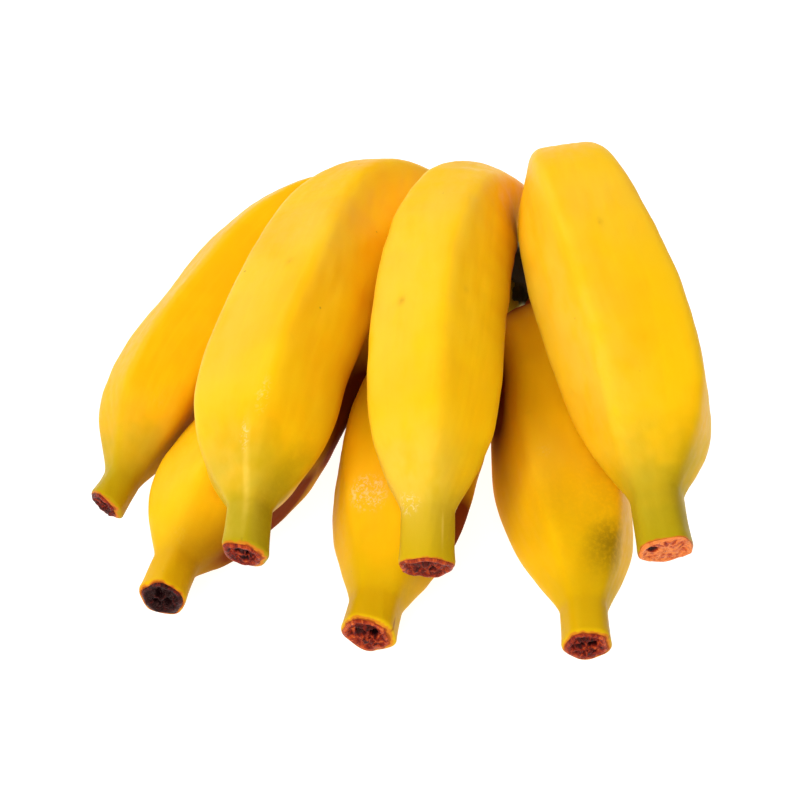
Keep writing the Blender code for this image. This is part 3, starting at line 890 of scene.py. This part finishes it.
def crown_material():
    """Green and brown skin, a dry fibrous cut face, and painted shade where fingers hide the sky.
    """
    g = Graph("crown")
    grain = g.attribute("grain", vector=True)
    cut = g.attribute("cut")
    skin = g.mix(g.span(g.noise(grain, 0.12, 3.0), 0.35, 0.65), *CROWN_GREENS)
    skin = g.mix(g.span(g.noise(grain, 0.7, 4.0), 0.5, 0.75, 0.0, 0.7), skin, STALK_BROWN)
    fibres = g.noise(g.scaled(grain, (1.0, 1.0, 0.25)), 1.1, 4.0, 0.6)
    dots = g.span(g.cells(grain, 0.55), 0.22, 0.12, 0.0, 0.8)
    flesh = g.mix(dots, g.ramp(fibres, CUT_COLOURS), CUT_DOTS)
    dry_edge = g.span(g.math("ABSOLUTE", g.math("SUBTRACT", cut, 0.5)), 0.45, 0.2, 0.0, 0.85)
    colour = g.mix(g.span(cut, 0.3, 0.7), skin, flesh)
    colour = g.mix(dry_edge, colour, CUT_EDGE)
    # painted shade, near black, where the fingers hide the sky
    dark = g.span(g.attribute("hidden"), 0.30, 0.65, 0.0, 0.97)
    colour = g.mix(dark, colour, CROWN_PAINTED_SHADE)
    rough = g.span(cut, 0.3, 0.7, 0.55, 0.85)
    height = g.math("ADD", g.noise(grain, 0.9, 5.0, 0.6), g.math("MULTIPLY", fibres, cut))
    g.surface({
        "Base Color": colour, "Roughness": rough, "Normal": g.bump(height, 0.0006, 0.7)})
    return g.material


def crown_skin():
    """Cushion and roots in one skin, remeshed and smoothed so that they flow together."""
    parts = [cushion_rings()] + [stub_rings(finger) for finger in FINGERS.values()]
    vertices, faces = [], []
    for rings in parts:
        start = sum(len(some) for some in vertices)
        size = rings.shape[1]
        quads = tube_faces(len(rings), size) + start
        flat = rings.reshape(-1, 3)
        first, last = start + len(flat), start + len(flat) + 1
        ends = np.array((rings[0].mean(axis=0), rings[-1].mean(axis=0)))
        vertices.append(np.concatenate((flat, ends)))
        faces += [tuple(face) for face in quads.tolist()]
        top = start + (len(rings) - 1) * size
        faces += [(first, start + (j + 1) % size, start + j) for j in range(size)]
        faces += [(last, top + j, top + (j + 1) % size) for j in range(size)]
    data = bpy.data.meshes.new("crown_skin")
    data.from_pydata(to_metres(np.concatenate(vertices)).tolist(), [], faces)
    thing = add_object("crown_skin", data)
    remesh = thing.modifiers.new("one skin", "REMESH")
    remesh.mode = "VOXEL"
    remesh.voxel_size = CROWN_VOXEL * MM
    ease = thing.modifiers.new("ease", "SMOOTH")
    ease.factor = CROWN_EASE
    ease.iterations = CROWN_EASE_TIMES
    evaluated = thing.evaluated_get(bpy.context.evaluated_depsgraph_get())
    thing.data = bpy.data.meshes.new_from_object(evaluated)
    thing.modifiers.clear()
    thing.data.name = "crown_skin"
    return thing


def cut_share(places):
    """How far each point belongs to the cut back of the crown."""
    line = smooth_path(CROWN_PATH, CROWN_LINE)[0]
    nearest = np.linalg.norm(places[:, None, :2] - line[None, :, :2], axis=2).argmin(axis=1)
    tangents = path_frames(line)[0]
    backs = np.cross((0.0, 0.0, 1.0), tangents)
    backs /= np.linalg.norm(backs, axis=1)[:, None]
    depth = ((places - line[nearest]) * backs[nearest]).sum(axis=1)
    return smooth_step(depth, CROWN_DEPTH - CUT_START, CROWN_DEPTH - CUT_FULL)


def crown_hidden(tree, places, normals):
    """How much of the sky the fingers hide from each point, seen from some and blended."""
    picked = np.arange(0, len(places), CROWN_SKIP)
    known = np.array([sky_share(tree, places[i], normals[i]) for i in picked])
    near = KDTree(len(picked))
    for i, place in enumerate(places[picked]):
        near.insert(place, i)
    near.balance()
    hidden = np.zeros(len(places))
    for i, place in enumerate(places):
        found = near.find_n(place, CROWN_NEAR)
        weights = np.array([1.0 / (CROWN_NEAR_EASE + distance) for _, _, distance in found])
        hidden[i] = (known[[index for _, index, _ in found]] * weights).sum() / weights.sum()
    return hidden


def make_crown(tree):
    """The crown in place of its solid, with lumps on its skin and knife marks on its cut face."""
    thing = crown_skin()
    count = len(thing.data.vertices)
    places = np.zeros(count * 3)
    thing.data.vertices.foreach_get("co", places)
    places = places.reshape(-1, 3) / MM + ORIGIN
    normals = np.zeros(count * 3)
    thing.data.vertex_normals.foreach_get("vector", normals)
    normals = normals.reshape(-1, 3)
    cut = cut_share(places)
    skin = wobbles(places, CROWN_LUMPS, CROWN_SEED) - CROWN_SINK
    saw = wobbles(places * CUT_STRETCH, [CUT_SAW], CROWN_SEED + 2) - CUT_SINK
    places += normals * (skin * (1.0 - cut) + saw * cut)[:, None]
    places[:, 2] = np.maximum(places[:, 2], 0.0)
    hidden = crown_hidden(tree, places, normals)
    thing.data.vertices.foreach_set("co", to_metres(places).astype(np.float32).ravel())
    for key, rows in (("hidden", hidden), ("cut", cut), ("grain", places)):
        store(thing.data, key, rows)
    thing.data.shade_smooth()
    thing.data.materials.append(crown_material())
    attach(thing, "root")
    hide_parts("crown")


def make_floor():
    bpy.ops.mesh.primitive_plane_add(size=FLOOR_SIZE, location=(0.0, 0.0, 0.0))
    floor = bpy.context.object
    floor.name = "floor"
    g = Graph("pale floor")
    place = g.node("TexCoord", "Object", {})
    g.surface({
        "Base Color": g.mix(g.noise(place, 3.0, 2.0), *FLOOR_GREYS), "Roughness": 0.9,
        "Emission Color": (1.0, 1.0, 1.0, 1.0), "Emission Strength": FLOOR_GLOW})
    floor.data.materials.append(g.material)


def add_light(name, azimuth, power):
    """A soft square light that looks at the fruit; azimuth 0 is the camera's side, 90 the right."""
    data = bpy.data.lights.new(name, "AREA")
    data.shape = "SQUARE"
    data.size = LIGHT_SIZE
    data.energy = power
    turn, rise = math.radians(azimuth), math.radians(LIGHT_ELEVATION)
    level = math.cos(rise)
    outward = Vector((math.sin(turn) * level, -math.cos(turn) * level, math.sin(rise)))
    light = add_object(name, data)
    light.location = Vector(LIGHT_AIM) + LIGHT_DISTANCE * outward
    light.rotation_mode = "QUATERNION"
    light.rotation_quaternion = outward.to_track_quat("Z", "Y")


def make_lights():
    """Three soft lights, and a dim sky that is bright along the horizon."""
    world = bpy.data.worlds.new("studio")
    bpy.context.scene.world = world
    world.use_nodes = True
    nodes, links = world.node_tree.nodes, world.node_tree.links
    direction = nodes.new("ShaderNodeSeparateXYZ")
    links.new(nodes.new("ShaderNodeTexCoord").outputs["Generated"], direction.inputs[0])
    fade = nodes.new("ShaderNodeMapRange")
    fade.interpolation_type = "SMOOTHSTEP"
    for key, value in HORIZON:
        fade.inputs[key].default_value = value
    links.new(direction.outputs["Z"], fade.inputs["Value"])
    links.new(fade.outputs["Result"], nodes["Background"].inputs["Strength"])
    nodes["Background"].inputs["Color"].default_value = (1.0, 1.0, 1.0, 1.0)
    for name, azimuth, power in LIGHTS:
        add_light(name, azimuth, power)


def make_camera():
    elevation = math.radians(VIEW_ELEVATION)
    back = np.array((0.0, -math.cos(elevation), math.sin(elevation)))
    data = bpy.data.cameras.new("camera")
    data.sensor_width = SENSOR
    data.lens = VIEW_PIXELS_PER_MM * VIEW_DISTANCE / PICTURE_WIDTH * SENSOR
    data.clip_start, data.clip_end = VIEW_CLIP
    camera = add_object("camera", data)
    camera.location = (VIEW_TARGET + back * VIEW_DISTANCE) * MM
    camera.rotation_euler = (math.radians(90.0 - VIEW_ELEVATION), 0.0, 0.0)
    bpy.context.scene.camera = camera


make_camera()
make_floor()
make_lights()
peel = peel_material()
scar = scar_material()
surfaces = {name: finger_surface(name) for name in FINGERS}
tree = coarse_tree(surfaces)
hidden_sky = sky_hidden(surfaces, tree)
for name, surface in surfaces.items():
    make_finger(name, surface, hidden_sky[name], peel, scar)
make_crown(tree)
bpy.context.scene.view_settings.view_transform = "Standard"
bpy.context.scene.view_settings.look = "None"
